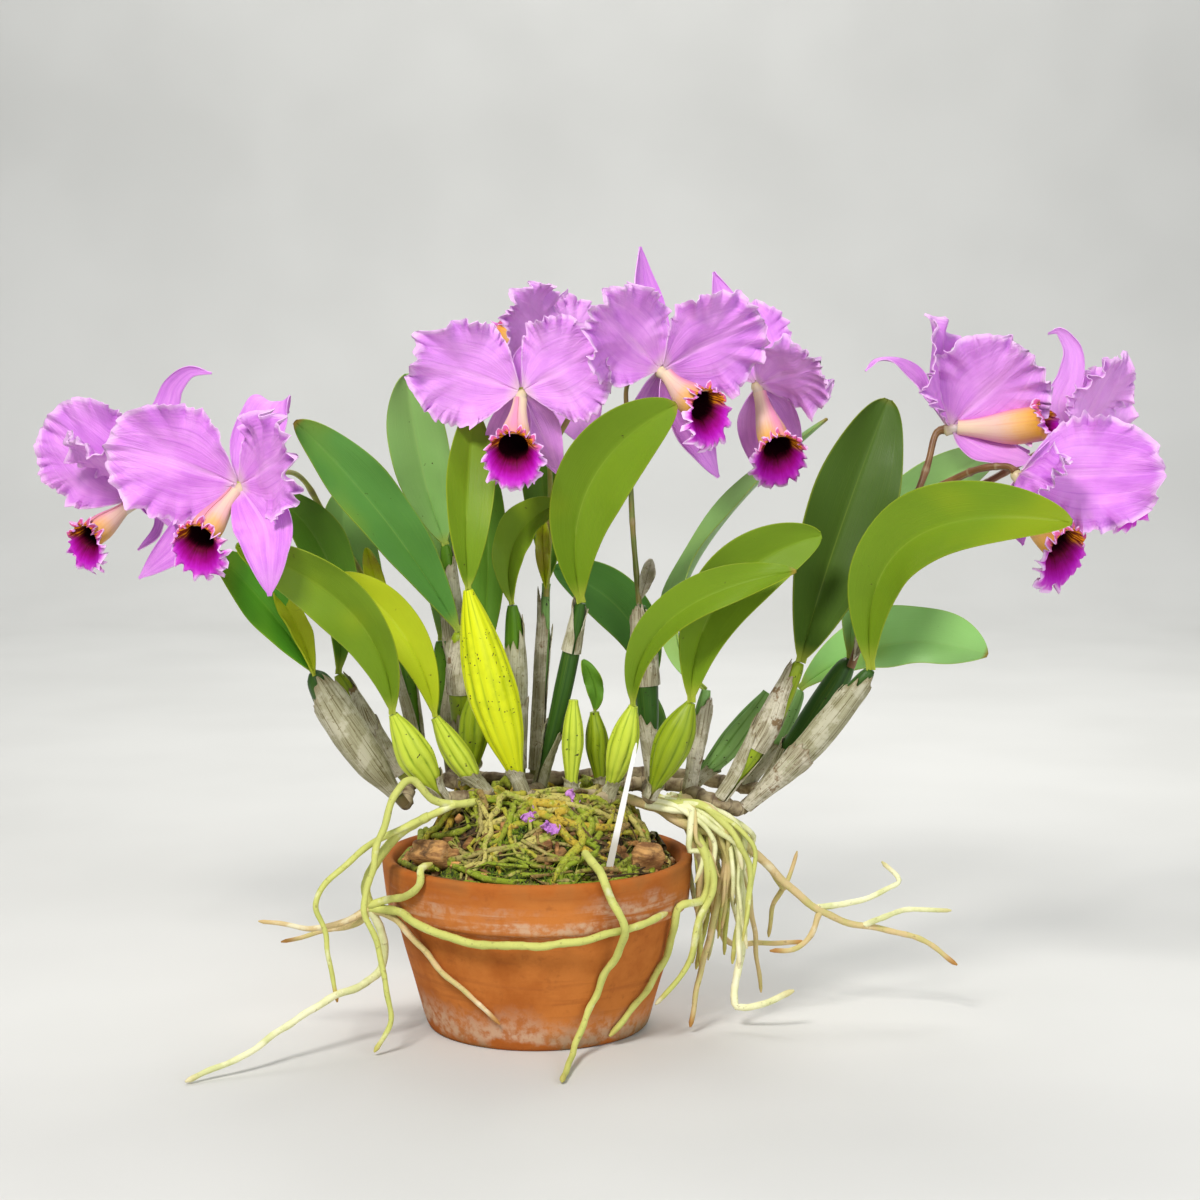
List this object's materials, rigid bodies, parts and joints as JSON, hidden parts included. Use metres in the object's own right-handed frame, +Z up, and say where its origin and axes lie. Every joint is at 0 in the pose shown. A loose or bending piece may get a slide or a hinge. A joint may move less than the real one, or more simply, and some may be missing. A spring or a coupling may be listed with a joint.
{
  "type": "potted cattleya orchid",
  "caption": "Potted cattleya orchid in flower: a terracotta bulb pan with ribbed bulbs, strap leaves, flower stalks with large frilled blooms, and air roots over the rim.",
  "frame": {"origin": "centre of the pot's flat foot, on the surface it stands on", "axes": "+Z up along the pot's axis, +X along the plant's longest reach, to the right when the best side faces the viewer, who is on the -Y side"},
  "size_m": [0.8368, 0.3135, 0.5711],
  "materials": {
    "terracotta": "unglazed terracotta, chalky, with pale salt bloom",
    "growing_medium": "rotted bark chips under moss, damp and rough",
    "bark": "rough dry bark",
    "label": "plain white plastic, satin",
    "moss_roots": "fine roots overgrown with moss",
    "bulb_skin": "green ribbed skin with papery grey sheaths, satin",
    "leaf": "thick waxy strap leaf, glossy above",
    "air_root": "spongy pale skin, matt",
    "flower_stalk": "smooth stem with a papery sheath",
    "petal": "soft matt lilac petal with fine veins",
    "lip": "velvety magenta with a pale frilled edge and yellow throat"
  },
  "bodies": {
    "root": {"bark_chunk_left": "bark", "bark_chunk_right": "bark", "bloom_1": "petal", "bloom_2": "petal", "bloom_3": "petal", "bloom_4": "petal", "bloom_5": "petal", "bloom_6": "petal", "bloom_7": "petal", "bloom_8": "petal", "bloom_9": "petal", "canes_back": "bulb_skin", "canes_centre": "bulb_skin", "canes_left": "bulb_skin", "canes_right": "bulb_skin", "growing_medium": "growing_medium", "label_stake": "label", "leaf_1": "leaf", "leaf_10": "leaf", "leaf_12": "leaf", "leaf_13": "leaf", "leaf_14": "leaf", "leaf_16": "leaf", "leaf_18": "leaf", "leaf_19": "leaf", "leaf_2": "leaf", "leaf_20": "leaf", "leaf_21": "leaf", "leaf_22": "leaf", "leaf_23": "leaf", "leaf_24": "leaf", "leaf_25": "leaf", "leaf_3": "leaf", "leaf_4": "leaf", "leaf_5": "leaf", "leaf_6": "leaf", "leaf_7": "leaf", "leaf_8": "leaf", "leaf_9": "leaf", "lip_1": "lip", "lip_2": "lip", "lip_3": "lip", "lip_4": "lip", "lip_5": "lip", "lip_6": "lip", "lip_7": "lip", "lip_8": "lip", "lip_9": "lip", "pot": "terracotta", "root_mat": "moss_roots", "roots_front": "air_root", "roots_left": "air_root", "roots_right": "air_root", "stalk_centre": "flower_stalk", "stalk_left": "flower_stalk", "stalk_middle": "flower_stalk", "stalk_right": "flower_stalk"}
  },
  "joints": []
}
